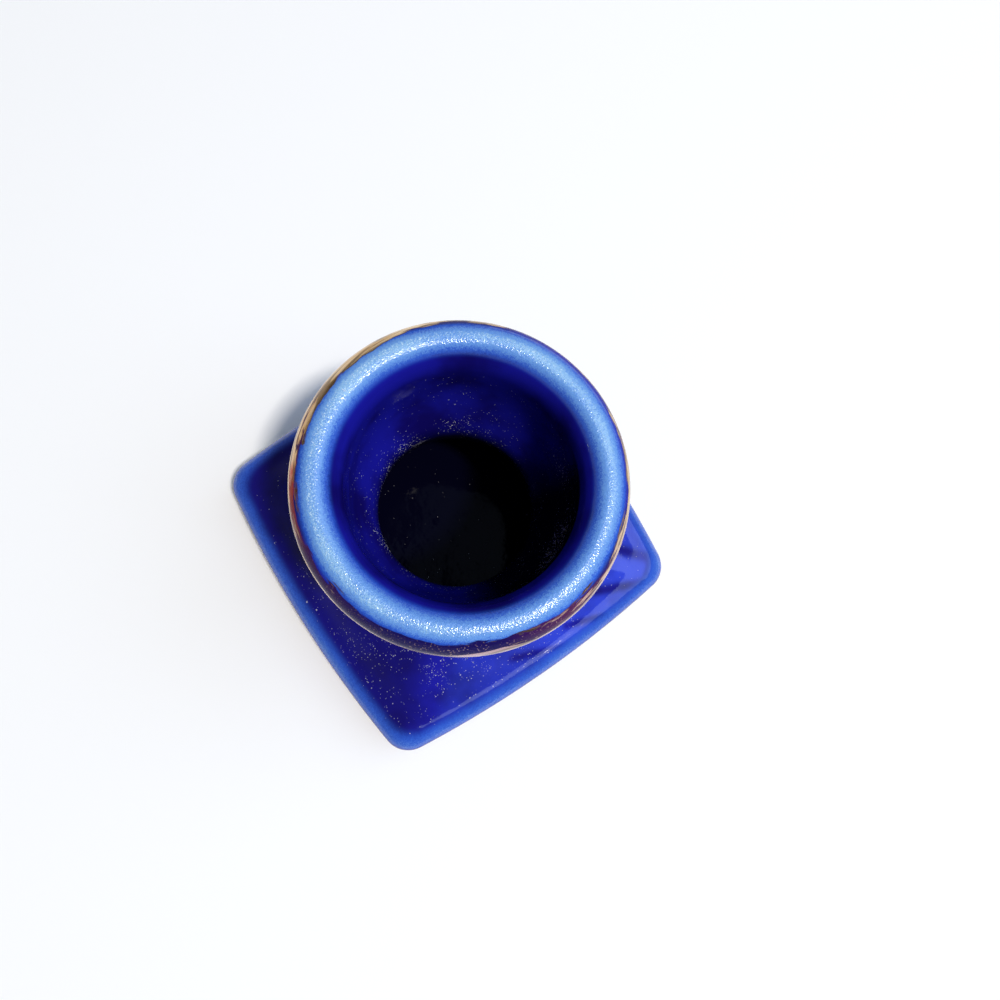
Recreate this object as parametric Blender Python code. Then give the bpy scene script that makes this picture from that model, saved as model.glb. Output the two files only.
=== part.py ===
"""Glazed bud vase with a rolled lip, cast in one piece with its square plinth.

The body is one hollow ceramic shell. A profile runs from the plinth's foot up the
outside, over the lip and down the inside to the floor. Each of its points is carried
once round the vase, on a circle above and on a rounded square in the plinth.
Units are metres, +Z is up, and the origin is the middle of the underside.
"""
import math

import bpy
import numpy as np

# Plinth
PLINTH_WIDTH = 0.0900  # across the middles of two opposite sides
PLINTH_BULGE = 0.0030  # how far a side's middle stands out from its ends
CORNER_RADIUS = 0.0070
PLINTH_SIDE = 0.0110  # height of the widest line of the sides
FOOT_TUCK = 0.0018  # how far the foot lies inside the widest line
EDGE_ROUND = 0.0045  # width of the rounding along the top edge
EDGE_RISE = 0.0040
PILLOW_RISE = 0.0035  # rise of the plinth's top from its edge to the neck's cove
COVE_RADIUS = 0.0330  # where the top turns up into the neck

# Body
HEIGHT = 0.0730
WALL = 0.0040
FLOOR = 0.0050
CHAMBER_ROUND = 0.0035  # rounding between the hollow plinth's side and its floor
THROAT_DIAMETER = 0.0350
THROAT_HEIGHT = 0.0375
BELL_TOP = 0.0600  # height where the bell's wall stands straight, below the lip

# Lip
MOUTH_DIAMETER = 0.0640  # across the lip's outer edge
LIP_OUT = 0.0052  # from the crest out to the lip's edge
LIP_IN = 0.0045  # from the crest in to the straight wall
LIP_DROP = 0.0062  # from the crest down to the outer edge
LIP_IN_DROP = 0.0075  # from the crest down to the straight wall
LIP_EDGE_DEPTH = 0.0024  # from the outer edge down to the lip's underside
LIP_EDGE_ROUND = 0.0016

# Shares of a stretch's length that its ends keep straight on for
EVEN = 1.0
FIRM = 1.6
SOFT = 0.6
TOP_SLOPE = 0.10  # rise over run of the plinth's top where it leaves the edge
COVE_SLOPE = 0.30  # rise over run where the top meets the cove

# Fineness
SIDES = 64
CORNER_CROWDING = 0.45  # how much closer the vertices lie at the plinth's corners

GLAZE_COLOUR = (0.010, 0.012, 0.300, 1.0)
GLAZE_ROUGHNESS = 0.08


def clear_scene():
    for item in list(bpy.data.objects):
        bpy.data.objects.remove(item, do_unlink=True)


def bend(start, start_way, end, end_way, steps, start_pull=EVEN, end_pull=EVEN):
    """Points of a cubic from start to end that leaves and arrives along two ways."""
    start = np.array(start)
    end = np.array(end)
    length = np.linalg.norm(end - start)
    leave = np.array(start_way) / np.linalg.norm(start_way) * length * start_pull
    arrive = np.array(end_way) / np.linalg.norm(end_way) * length * end_pull
    t = np.linspace(0.0, 1.0, steps + 1)[:, None]
    return (
        (2 * t**3 - 3 * t**2 + 1) * start
        + (t**3 - 2 * t**2 + t) * leave
        + (3 * t**2 - 2 * t**3) * end
        + (t**3 - t**2) * arrive
    )


def quarter(centre, width, rise, start_angle, end_angle, steps):
    """Points of an ellipse's arc, as radius and height."""
    angle = np.radians(np.linspace(start_angle, end_angle, steps + 1))
    return np.stack([centre[0] + width * np.cos(angle), centre[1] + rise * np.sin(angle)], axis=1)


def join(*stretches):
    """One run of points from stretches that share their end points."""
    return np.concatenate([stretches[0]] + [stretch[1:] for stretch in stretches[1:]])


def inside_of(points):
    """The same run moved inwards by the wall, in reverse, as a cast shell's inside."""
    along = np.gradient(points, axis=0)
    along /= np.linalg.norm(along, axis=1)[:, None]
    inwards = np.stack([-along[:, 1], along[:, 0]], axis=1)
    return (points + inwards * WALL)[::-1]


def crest_radius():
    return MOUTH_DIAMETER / 2 - LIP_OUT


def mouth_height():
    return HEIGHT - LIP_DROP


def foot_profile():
    half = PLINTH_WIDTH / 2
    return bend((half - FOOT_TUCK, 0.0), (0.35, 1.0), (half, PLINTH_SIDE), (0.0, 1.0), 3)


def plinth_top_profile():
    """From the widest line over the rounded edge to where the cove begins."""
    half = PLINTH_WIDTH / 2
    edge_end = (half - EDGE_ROUND, PLINTH_SIDE + EDGE_RISE)
    cove_start = (COVE_RADIUS, edge_end[1] + PILLOW_RISE)
    edge = bend((half, PLINTH_SIDE), (0.0, 1.0), edge_end, (-1.0, TOP_SLOPE), 4)
    top = bend(edge_end, (-1.0, TOP_SLOPE), cove_start, (-1.0, COVE_SLOPE), 3)
    return join(edge, top)


def neck_profile():
    """The cove up to the waist, and the bell from there to under the lip."""
    waist = (THROAT_DIAMETER / 2 + WALL, THROAT_HEIGHT)
    cove_start = (COVE_RADIUS, PLINTH_SIDE + EDGE_RISE + PILLOW_RISE)
    bell_end = (crest_radius() - LIP_IN + WALL, BELL_TOP)
    cove = bend(cove_start, (-1.0, COVE_SLOPE), waist, (0.0, 1.0), 7)
    bell = bend(waist, (0.0, 1.0), bell_end, (0.0, 1.0), 6, SOFT, FIRM)
    return join(cove, bell)


def lip_profile():
    """Out under the lip, round its edge, over the crest and down to the straight wall."""
    neck = crest_radius() - LIP_IN + WALL
    edge = MOUTH_DIAMETER / 2
    low = (edge - LIP_EDGE_ROUND, mouth_height() - LIP_EDGE_DEPTH)
    centre = (crest_radius(), mouth_height())
    under = bend((neck, BELL_TOP), (0.0, 1.0), low, (1.0, 0.0), 3)
    turn = bend(low, (1.0, 0.0), (edge, mouth_height()), (0.0, 1.0), 3)
    outer_roll = quarter(centre, LIP_OUT, LIP_DROP, 0.0, 90.0, 6)
    inner_roll = quarter((crest_radius(), HEIGHT - LIP_IN_DROP), LIP_IN, LIP_IN_DROP, 90.0, 180.0, 5)
    return join(under, turn, outer_roll, inner_roll)


def chamber_profile(ceiling_end):
    """The hollow plinth's side, from the end of its ceiling down into the floor."""
    side = PLINTH_WIDTH / 2 - WALL
    middle = (side, (ceiling_end[1] + FLOOR) / 2)
    floor_start = (side - CHAMBER_ROUND, FLOOR)
    upper = bend(ceiling_end, (1.0, -COVE_SLOPE), middle, (0.0, -1.0), 2)
    lower = bend(middle, (0.0, -1.0), floor_start, (-1.0, 0.0), 3)
    return join(upper, lower)


def whole_profile():
    """Radius, height and squareness of every ring, from the foot to the floor."""
    shell = join(plinth_top_profile(), neck_profile())
    inside = inside_of(shell)
    inside = inside[inside[:, 0] < PLINTH_WIDTH / 2 - WALL - CHAMBER_ROUND]
    chamber = chamber_profile(inside[-1])
    points = np.concatenate(
        [foot_profile()[:-1], shell, lip_profile()[1:], inside, chamber[1:]]
    )
    round_radius = THROAT_DIAMETER / 2 + WALL
    square_radius = PLINTH_WIDTH / 2 - EDGE_ROUND
    share = np.clip((points[:, 0] - round_radius) / (square_radius - round_radius), 0.0, 1.0)
    squareness = share**2 * (3 - 2 * share)
    squareness[points[:, 1] > THROAT_HEIGHT] = 0.0
    return np.column_stack([points, squareness])


def corner_centre(half, side_radius):
    """Place on the diagonal of a corner circle that touches both arched sides.

    The circle lies within each side's arc, so its centre is the side's radius less its
    own from the arc's centre, which gives a quadratic for its place.
    """
    back = half - side_radius
    reach = side_radius - CORNER_RADIUS
    return (back + math.sqrt(2 * reach**2 - back**2)) / 2


def plinth_outline(angles):
    """Distance of the plinth's outline from its middle, as a share of half its width.

    A ray at each angle, folded into half a side, meets the side's long arc first, and
    past the point where the arcs touch, the corner's circle.
    """
    half = PLINTH_WIDTH / 2
    chord = half - PLINTH_BULGE
    side_radius = (chord**2 + PLINTH_BULGE**2) / (2 * PLINTH_BULGE)
    back = half - side_radius
    corner = corner_centre(half, side_radius)
    touch = math.atan2(corner, corner - back)
    touch_angle = math.atan2(side_radius * math.sin(touch), back + side_radius * math.cos(touch))
    folded = np.abs((angles + math.pi / 4) % (math.pi / 2) - math.pi / 4)
    on_side = back * np.cos(folded) + np.sqrt(side_radius**2 - (back * np.sin(folded)) ** 2)
    along = corner * (np.cos(folded) + np.sin(folded))
    across = corner * (np.cos(folded) - np.sin(folded))
    on_corner = along + np.sqrt(np.maximum(CORNER_RADIUS**2 - across**2, 0.0))
    return np.where(folded < touch_angle, on_side, on_corner) / half


def ring_grid(profile):
    """Every ring's points: the circle stretched towards the plinth's outline."""
    turn = np.arange(SIDES) * 2 * math.pi / SIDES
    angles = turn + CORNER_CROWDING / 4 * np.sin(4 * turn)
    outline = plinth_outline(angles)
    stretch = 1 + profile[:, 2:3] * (outline - 1)
    radius = profile[:, 0:1] * stretch
    height = np.repeat(profile[:, 1:2], SIDES, axis=1)
    return np.stack([radius * np.cos(angles), radius * np.sin(angles), height], axis=2)


def closed_mesh(name, rings):
    """A closed mesh of the rings, with the first and the last one filled by a fan."""
    count = len(rings)
    vertices = [tuple(point) for point in rings.reshape(-1, 3)]
    foot_middle = len(vertices)
    floor_middle = foot_middle + 1
    vertices.append((0.0, 0.0, rings[0, 0, 2]))
    vertices.append((0.0, 0.0, rings[-1, 0, 2]))
    faces = []
    for side in range(SIDES):
        following = (side + 1) % SIDES
        for ring in range(count - 1):
            low = ring * SIDES
            high = low + SIDES
            faces.append((low + side, low + following, high + following, high + side))
        last = (count - 1) * SIDES
        faces.append((foot_middle, following, side))
        faces.append((floor_middle, last + side, last + following))
    mesh = bpy.data.meshes.new(name)
    mesh.from_pydata(vertices, [], faces)
    mesh.shade_smooth()
    mesh.set_sharp_from_angle(angle=math.radians(40))
    return mesh


def glaze_material():
    material = bpy.data.materials.new("cobalt_glaze")
    material.use_nodes = True
    shader = material.node_tree.nodes["Principled BSDF"]
    shader.inputs["Base Color"].default_value = GLAZE_COLOUR
    shader.inputs["Roughness"].default_value = GLAZE_ROUGHNESS
    shader.inputs["Metallic"].default_value = 0.0
    return material


def build_vase():
    mesh = closed_mesh("vase", ring_grid(whole_profile()))
    mesh.materials.append(glaze_material())
    vase = bpy.data.objects.new("vase", mesh)
    bpy.context.scene.collection.objects.link(vase)


def main():
    clear_scene()
    build_vase()


main()
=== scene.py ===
"""The looks of a cobalt-glazed bud vase with a gilt line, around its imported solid.

The vase is one cast shell, so it is one fine surface: a profile carried round the
axis on circles above, and on rounded squares in the plinth. Values that vary along
the profile, such as where the glaze runs thin, ride on the mesh as attributes, and the
finishes read them. Units are metres, and +Z is up.
"""
import logging
import math
from dataclasses import dataclass, field
from enum import Enum

import bpy
import numpy as np
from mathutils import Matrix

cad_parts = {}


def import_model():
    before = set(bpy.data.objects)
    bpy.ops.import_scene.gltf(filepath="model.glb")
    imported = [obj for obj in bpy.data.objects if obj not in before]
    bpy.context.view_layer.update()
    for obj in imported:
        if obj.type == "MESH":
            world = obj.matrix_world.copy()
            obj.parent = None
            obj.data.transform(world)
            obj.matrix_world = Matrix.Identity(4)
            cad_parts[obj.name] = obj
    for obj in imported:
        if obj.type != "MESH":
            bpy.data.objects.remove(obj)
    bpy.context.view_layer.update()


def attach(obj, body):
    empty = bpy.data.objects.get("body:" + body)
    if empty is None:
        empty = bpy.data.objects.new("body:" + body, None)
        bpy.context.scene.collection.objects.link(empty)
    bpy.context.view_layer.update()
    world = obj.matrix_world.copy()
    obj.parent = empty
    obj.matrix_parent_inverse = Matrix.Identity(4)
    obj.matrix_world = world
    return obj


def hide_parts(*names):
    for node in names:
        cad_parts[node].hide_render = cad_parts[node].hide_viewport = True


Colour = tuple[float, float, float, float]
Place = tuple[float, float, float]
Spot = tuple[float, float]
Span = tuple[float, float]
Socket = bpy.types.NodeSocket

log = logging.getLogger("bud_vase")


class Region(Enum):
    """The parts of the shell that have a finish of their own."""

    GLAZE = 0
    GILT_EDGE = 1
    FOOT = 2
    INSIDE = 3


class Trait(Enum):
    """The values that the mesh carries for its finishes, one for each vertex."""

    THINNESS = "glaze_thinness"
    # A painted reflection on the plinth's top, and painted shade where it is negative.
    CORNER_SHEEN = "glaze_milkiness"
    # Painted shade inside the bowl and the chamber.
    INSIDE_SHADE = "depth_inside"
    GILT_ACROSS = "gilt_across"
    GILT_WIDTH = "gilt_width"
    GILT_LINE = "gilt_line"
    GILT_GOLD = "gilt_gold"
    GILT_COPPER = "gilt_copper"
    GILT_ROSE = "gilt_rose"
    DUST = "dust_amount"


# Curves

UP: Spot = (0.0, 1.0)
DOWN: Spot = (0.0, -1.0)
OUT: Spot = (1.0, 0.0)
INWARDS: Spot = (-1.0, 0.0)


def bend(
    start: Spot,
    start_way: Spot,
    end: Spot,
    end_way: Spot,
    steps: int,
    start_pull: float = 1.0,
    end_pull: float = 1.0,
) -> np.ndarray:
    """Points of a cubic that leaves one point and reaches another along given ways.

    Formula: the Hermite cubic. Each end's tangent is its way, as long as the straight
    distance between the ends times that end's pull.

    Args:
        start: Radius and height of the first point.
        start_way: Direction in which the curve leaves it.
        end: Radius and height of the last point.
        end_way: Direction in which the curve arrives.
        steps: Number of equal steps of the parameter.
        start_pull: How long the curve keeps to its first direction.
        end_pull: How long it keeps to its last one.

    Returns:
        An array of steps + 1 rows of radius and height.
    """
    first = np.array(start)
    last = np.array(end)
    length = np.linalg.norm(last - first)
    leave = np.array(start_way) / np.linalg.norm(start_way) * length * start_pull
    arrive = np.array(end_way) / np.linalg.norm(end_way) * length * end_pull
    t = np.linspace(0.0, 1.0, steps + 1)[:, None]
    ends = (2 * t**3 - 3 * t**2 + 1) * first + (3 * t**2 - 2 * t**3) * last
    return ends + (t**3 - 2 * t**2 + t) * leave + (t**3 - t**2) * arrive


def elliptic_arc(centre: Spot, width: float, rise: float, span_deg: Span, steps: int) -> np.ndarray:
    """Points of an ellipse's arc.

    Formula: the centre plus width times the cosine and rise times the sine of an angle
    that runs evenly over the span.

    Args:
        centre: Radius and height of the ellipse's middle.
        width: Its half width.
        rise: Its half height.
        span_deg: First and last angle.
        steps: Number of steps.

    Returns:
        An array of steps + 1 rows of radius and height.
    """
    angle = np.radians(np.linspace(span_deg[0], span_deg[1], steps + 1))
    return np.stack([centre[0] + width * np.cos(angle), centre[1] + rise * np.sin(angle)], axis=1)


def join(*stretches: np.ndarray) -> np.ndarray:
    """One run of points from stretches that each start where the last one ends."""
    return np.concatenate([stretches[0]] + [stretch[1:] for stretch in stretches[1:]])


def smooth_step(values: np.ndarray, low: float, high: float) -> np.ndarray:
    """Rises from 0 at low to 1 at high, as three squares less two cubes of the share."""
    share = np.clip((values - low) / (high - low), 0.0, 1.0)
    return share**2 * (3 - 2 * share)


def hump(values: np.ndarray, middle: float, inner: float, outer: float) -> np.ndarray:
    """A flat-topped hump: 1 within inner of the middle, and 0 beyond outer of it."""
    return 1.0 - smooth_step(np.abs(values - middle), inner, outer)


# Shape


@dataclass(frozen=True)
class Plinth:
    """The square foot: arched sides, round corners and a pillowed top."""

    width: float = 0.0900
    bulge: float = 0.0030
    corner_radius: float = 0.0070
    side_height: float = 0.0110
    foot_tuck: float = 0.0018
    foot_lean: float = 0.35
    edge_round: float = 0.0045
    edge_rise: float = 0.0040
    pillow_rise: float = 0.0035
    cove_radius: float = 0.0330
    top_slope: float = 0.10
    cove_slope: float = 0.30

    @property
    def half(self) -> float:
        """Half the width, from the axis to the middle of a side."""
        return self.width / 2

    @property
    def edge_end(self) -> Spot:
        """Where the rounded edge ends and the top begins."""
        return (self.half - self.edge_round, self.side_height + self.edge_rise)

    @property
    def cove_start(self) -> Spot:
        """Where the top turns up into the neck."""
        return (self.cove_radius, self.edge_end[1] + self.pillow_rise)

    def foot_profile(self) -> np.ndarray:
        """The side, from the foot up to the widest line."""
        foot = (self.half - self.foot_tuck, 0.0)
        return bend(foot, (self.foot_lean, 1.0), (self.half, self.side_height), UP, steps=10)

    def top_profile(self) -> np.ndarray:
        """From the widest line over the rounded edge to where the cove begins.

        Returns:
            Rows of radius and height.
        """
        way = (-1.0, self.top_slope)
        edge = bend((self.half, self.side_height), UP, self.edge_end, way, steps=24)
        top = bend(self.edge_end, way, self.cove_start, (-1.0, self.cove_slope), steps=20)
        return join(edge, top)

    def outline(self, angles: np.ndarray) -> np.ndarray:
        """Distance of the outline from the axis, as a share of half the width.

        Formula: a ray at each angle, folded into half a side, meets the side's long arc
        first, and past the point where the arcs touch, the corner's circle. The corner's
        centre is on the diagonal, the side's radius less its own from the arc's centre.

        Args:
            angles: Angles about the axis, in radians.

        Returns:
            1 in the middle of a side, and more towards the corners.
        """
        chord = self.half - self.bulge
        arc = (chord**2 + self.bulge**2) / (2 * self.bulge)
        back = self.half - arc
        corner = (back + math.sqrt(2 * (arc - self.corner_radius) ** 2 - back**2)) / 2
        touch = math.atan2(corner, corner - back)
        touch_angle = math.atan2(arc * math.sin(touch), back + arc * math.cos(touch))
        folded = np.abs((angles + math.pi / 4) % (math.pi / 2) - math.pi / 4)
        on_side = back * np.cos(folded) + np.sqrt(arc**2 - (back * np.sin(folded)) ** 2)
        along = corner * (np.cos(folded) + np.sin(folded))
        across = corner * (np.cos(folded) - np.sin(folded))
        on_corner = along + np.sqrt(np.maximum(self.corner_radius**2 - across**2, 0.0))
        return np.where(folded < touch_angle, on_side, on_corner) / self.half


@dataclass(frozen=True)
class Lip:
    """The wide lip: a tall roll turned outwards and down over the bell."""

    mouth_diameter: float = 0.0640
    height: float = 0.0730
    out: float = 0.0052
    inwards: float = 0.0045
    drop: float = 0.0062
    inner_drop: float = 0.0075
    edge_depth: float = 0.0024
    edge_round: float = 0.0016

    @property
    def edge_radius(self) -> float:
        """Radius of the outer edge."""
        return self.mouth_diameter / 2

    @property
    def crest_radius(self) -> float:
        """Radius of the highest line."""
        return self.edge_radius - self.out

    @property
    def edge_height(self) -> float:
        """Height of the outer edge."""
        return self.height - self.drop

    @property
    def bore_radius(self) -> float:
        """Radius of the straight wall below the lip."""
        return self.crest_radius - self.inwards

    def profile(self, neck: Spot) -> np.ndarray:
        """Out under the lip, round its edge, over the crest and down to the bore.

        Args:
            neck: Radius and height of the bell's outside where the lip begins.

        Returns:
            Rows of radius and height.
        """
        low = (self.edge_radius - self.edge_round, self.edge_height - self.edge_depth)
        edge = (self.edge_radius, self.edge_height)
        inner = (self.crest_radius, self.height - self.inner_drop)
        return join(
            bend(neck, UP, low, OUT, steps=14),
            bend(low, OUT, edge, UP, steps=12),
            elliptic_arc((self.crest_radius, edge[1]), self.out, self.drop, (0.0, 90.0), steps=44),
            elliptic_arc(inner, self.inwards, self.inner_drop, (90.0, 180.0), steps=34),
        )


@dataclass(frozen=True)
class Shell:
    """The whole cast body: the plinth, the drawn-in neck, the bell and the lip."""

    plinth: Plinth = field(default_factory=Plinth)
    lip: Lip = field(default_factory=Lip)
    wall: float = 0.0040
    floor: float = 0.0050
    chamber_round: float = 0.0035
    throat_diameter: float = 0.0350
    throat_height: float = 0.0375
    bell_top: float = 0.0600
    waist_pull: float = 0.6
    bell_pull: float = 1.6
    sides: int = 304
    corner_crowding: float = 0.45

    @property
    def waist_radius(self) -> float:
        """Radius of the neck's outside at its narrowest."""
        return self.throat_diameter / 2 + self.wall

    def neck_profile(self) -> np.ndarray:
        """The cove up to the waist, and the bell from there to under the lip.

        Returns:
            Rows of radius and height.
        """
        waist = (self.waist_radius, self.throat_height)
        bell_end = (self.lip.bore_radius + self.wall, self.bell_top)
        way = (-1.0, self.plinth.cove_slope)
        cove = bend(self.plinth.cove_start, way, waist, UP, steps=26)
        bell = bend(waist, UP, bell_end, UP, 26, self.waist_pull, self.bell_pull)
        return join(cove, bell)

    def inside_of(self, points: np.ndarray) -> np.ndarray:
        """The run moved inwards by the wall, and turned round.

        Formula: each point less its outward normal times the wall, where the normal is
        the run's direction turned by a right angle.

        Args:
            points: Rows of radius and height on the outside, going up.

        Returns:
            The inside's rows, going down, without those past the chamber's side.
        """
        along = np.gradient(points, axis=0)
        along /= np.linalg.norm(along, axis=1)[:, None]
        inwards = np.stack([-along[:, 1], along[:, 0]], axis=1)
        moved = (points + inwards * self.wall)[::-1]
        limit = self.plinth.half - self.wall - self.chamber_round
        return moved[moved[:, 0] < limit]

    def chamber_profile(self, ceiling_end: np.ndarray) -> np.ndarray:
        """The hollow plinth's side, from the end of its ceiling down into the floor.

        Args:
            ceiling_end: Radius and height of the ceiling's last point.

        Returns:
            Rows of radius and height.
        """
        side = self.plinth.half - self.wall
        middle = (side, (ceiling_end[1] + self.floor) / 2)
        floor_start = (side - self.chamber_round, self.floor)
        way = (1.0, -self.plinth.cove_slope)
        upper = bend(tuple(ceiling_end), way, middle, DOWN, steps=5)
        lower = bend(middle, DOWN, floor_start, INWARDS, steps=6)
        return join(upper, lower)

    def profile(self) -> np.ndarray:
        """The outside from the foot up, over the lip and down the inside to the floor.

        Returns:
            Rows of radius and height.
        """
        shell = join(self.plinth.top_profile(), self.neck_profile())
        inside = self.inside_of(shell)
        chamber = self.chamber_profile(inside[-1])
        runs = [self.plinth.foot_profile()[:-1], shell, self.lip.profile(tuple(shell[-1]))[1:]]
        return np.concatenate([*runs, inside, chamber[1:]])

    def squareness(self, profile: np.ndarray) -> np.ndarray:
        """How far each ring is stretched from a circle to the plinth's outline.

        Args:
            profile: Rows of radius and height.

        Returns:
            0 on the neck and above it, 1 from the plinth's edge outwards.
        """
        share = smooth_step(profile[:, 0], self.waist_radius, self.plinth.edge_end[0])
        share[profile[:, 1] > self.throat_height] = 0.0
        return share

    def angles(self) -> np.ndarray:
        """Angles of the vertices round a ring, closer together at the plinth's corners."""
        turn = np.arange(self.sides) * 2 * math.pi / self.sides
        return turn + self.corner_crowding / 4 * np.sin(4 * turn)

    def grid(self, profile: np.ndarray) -> np.ndarray:
        """Every ring's points.

        Formula: a point's distance from the axis is its profile radius, times one plus
        the ring's squareness times what the plinth's outline has over 1 at its angle.

        Args:
            profile: Rows of radius and height.

        Returns:
            An array of rings by sides by three.
        """
        angles = self.angles()
        outline = self.plinth.outline(angles)
        stretch = 1 + self.squareness(profile)[:, None] * (outline - 1)
        radius = profile[:, :1] * stretch
        height = np.repeat(profile[:, 1:2], self.sides, axis=1)
        return np.stack([radius * np.cos(angles), radius * np.sin(angles), height], axis=2)


@dataclass(frozen=True)
class HandWork:
    """How far the real casting is from true: a lip and a top that wander a little."""

    lip_wander: float = 0.00012
    top_wander: float = 0.00010
    lip_waves: tuple[tuple[int, float], ...] = ((2, 0.7), (3, 2.1), (5, 4.0), (9, 1.2))
    top_waves: tuple[Place, ...] = ((95.0, 40.0, 0.5), (-60.0, 120.0, 2.0), (170.0, 150.0, 4.4))
    top_fade: float = 0.8

    def lower(self, grid: np.ndarray, shell: Shell) -> np.ndarray:
        """Sinks the surface by up to the wander, and never raises it.

        Formula: on the lip, a sum of cosines of whole multiples of the angle. On the
        plinth's top, a sum of cosines of slanting plane waves. Each sum is brought to
        between 0 and 1 and faded out away from its place.

        Args:
            grid: Points as rings by sides by three.
            shell: The body that the grid belongs to.

        Returns:
            A changed copy of the grid.
        """
        moved = grid.copy()
        x, y, z = grid[..., 0], grid[..., 1], grid[..., 2]
        angle = np.arctan2(y, x)
        round_lip = sum(np.cos(count * angle + phase) for count, phase in self.lip_waves)
        round_lip = 0.5 + 0.5 * round_lip / len(self.lip_waves)
        near_lip = smooth_step(z, shell.lip.edge_height, shell.lip.height)
        over_top = sum(np.cos(a * x + b * y + phase) for a, b, phase in self.top_waves)
        over_top = 0.5 + 0.5 * over_top / len(self.top_waves)
        radius = np.hypot(x, y)
        cove = shell.plinth.cove_radius
        near_top = smooth_step(radius, cove * self.top_fade, cove)
        near_top = near_top * smooth_step(z, shell.plinth.side_height, shell.plinth.edge_end[1])
        near_top = near_top * (z < shell.throat_height)
        moved[..., 2] -= self.lip_wander * near_lip * round_lip
        moved[..., 2] -= self.top_wander * near_top * over_top
        return moved


@dataclass(frozen=True)
class Surface:
    """The shell's points ring by ring, and the measures that its finishes go by.

    The profile is rows of radius and height, and the grid is rings by sides by three.
    """

    shell: Shell
    profile: np.ndarray
    grid: np.ndarray

    @property
    def height(self) -> np.ndarray:
        """Height of every vertex."""
        return self.grid[..., 2]

    @property
    def radius(self) -> np.ndarray:
        """Distance of every vertex from the axis."""
        return np.hypot(self.grid[..., 0], self.grid[..., 1])

    @property
    def heading(self) -> np.ndarray:
        """Angle of every vertex about the axis."""
        return np.arctan2(self.grid[..., 1], self.grid[..., 0])

    @property
    def crest(self) -> int:
        """Number of the highest ring."""
        return int(np.argmax(self.profile[:, 1]))

    @property
    def inside(self) -> np.ndarray:
        """Which rings lie past the crest, as a column."""
        return (np.arange(len(self.profile)) > self.crest)[:, None]

    @property
    def along(self) -> np.ndarray:
        """Distance of each ring from the first one, along the profile."""
        return np.append(0.0, np.cumsum(np.linalg.norm(np.diff(self.profile, axis=0), axis=1)))

    @property
    def above_edge(self) -> np.ndarray:
        """Distance of each ring above the lip's outer edge, negative below it."""
        on_lip = self.profile[:, 0] * (self.profile[:, 1] > self.shell.bell_top)
        return self.along - self.along[int(np.argmax(on_lip))]

    def facing(self, heading_deg: float) -> np.ndarray:
        """How far each side faces a heading, from 0 behind to 1 in front."""
        return 0.5 + 0.5 * np.cos(self.shell.angles() - math.radians(heading_deg))


@dataclass(frozen=True)
class Ramp:
    """A value along the profile that is full up to one distance and gone at another."""

    full: float
    gone: float

    def at(self, distance: np.ndarray) -> np.ndarray:
        """Its value, between 1 and 0, at distances from its middle."""
        return 1.0 - smooth_step(distance, self.full, self.gone)


@dataclass(frozen=True)
class GlazeFlow:
    """Where the molten glaze drew thin, as distances along the profile.

    The thin band on the lip lies off the crest, further out on the side to which the vase leant in the kiln,
    and it is made a little less pale towards one heading, which is painted shade.
    """

    lip_middle: float = -0.00060
    lip_inside: float = 0.0055
    lip_outside: float = 0.0042
    lean: float = 0.00028
    lean_deg: float = -10.0
    # Painted shade: the lip's pale band is a little less pale towards this heading.
    lip_painted_shade: float = 0.09
    lip_painted_shade_deg: float = 30.0
    edge_place: float = 0.0023
    edge_inside: Ramp = Ramp(0.0003, 0.0056)
    edge_outside: Ramp = Ramp(0.0002, 0.0019)
    edge_share: float = 0.46

    def thinness(self, surface: Surface) -> np.ndarray:
        """How thin the glaze is at every vertex.

        Formula: a hump along the profile near the lip's crest, wider inwards, whose
        middle and height move with the cosine of the heading, and a smaller, lopsided
        one on the plinth's rounded edge, made of one ramp inwards and one outwards.

        Args:
            surface: The vase's surface.

        Returns:
            An array of rings by sides: 0 where the glaze is thick, 1 where it is thinnest.
        """
        shell, along = surface.shell, surface.along
        from_crest = (along - along[surface.crest])[:, None]
        lean = self.lean * np.cos(shell.angles() - math.radians(self.lean_deg))
        off = from_crest + lean - self.lip_middle
        lip = 1.0 - smooth_step(np.maximum(off / self.lip_inside, -off / self.lip_outside), 0.0, 1.0)
        lip = lip * (1 - self.lip_painted_shade * surface.facing(self.lip_painted_shade_deg))
        widest = along[len(shell.plinth.foot_profile()) - 1]
        from_edge = along - widest - self.edge_place
        edge = self.edge_inside.at(from_edge) * self.edge_outside.at(-from_edge)
        return lip + edge[:, None] * self.edge_share


@dataclass(frozen=True)
class InsidePaintedShade:
    """Painted shade inside: darker towards the bottom, and on one side of the bowl."""

    side_depth: float = 0.56
    side_deg: float = 26.0
    side_narrowing: float = 1.5
    side_top: float = 0.0700
    side_full: float = 0.0660

    def depth(self, surface: Surface) -> np.ndarray:
        """How much painted shade every vertex gets.

        Formula: the share of the way down from the lip's foot to the floor. On one side it is at least the
        side's painted shade, times a power of how far the vertex faces that side.

        Args:
            surface: The vase's surface.

        Returns:
            0 outside and on the lip, 1 on the floor.
        """
        shell, height = surface.shell, surface.height
        mouth = shell.lip.height - shell.lip.inner_drop
        down = np.clip((mouth - height) / (mouth - shell.floor), 0.0, 1.0)
        side = self.side_depth * surface.facing(self.side_deg) ** self.side_narrowing
        side = side * smooth_step(-height, -self.side_top, -self.side_full)
        return np.maximum(down, side) * surface.inside


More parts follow.
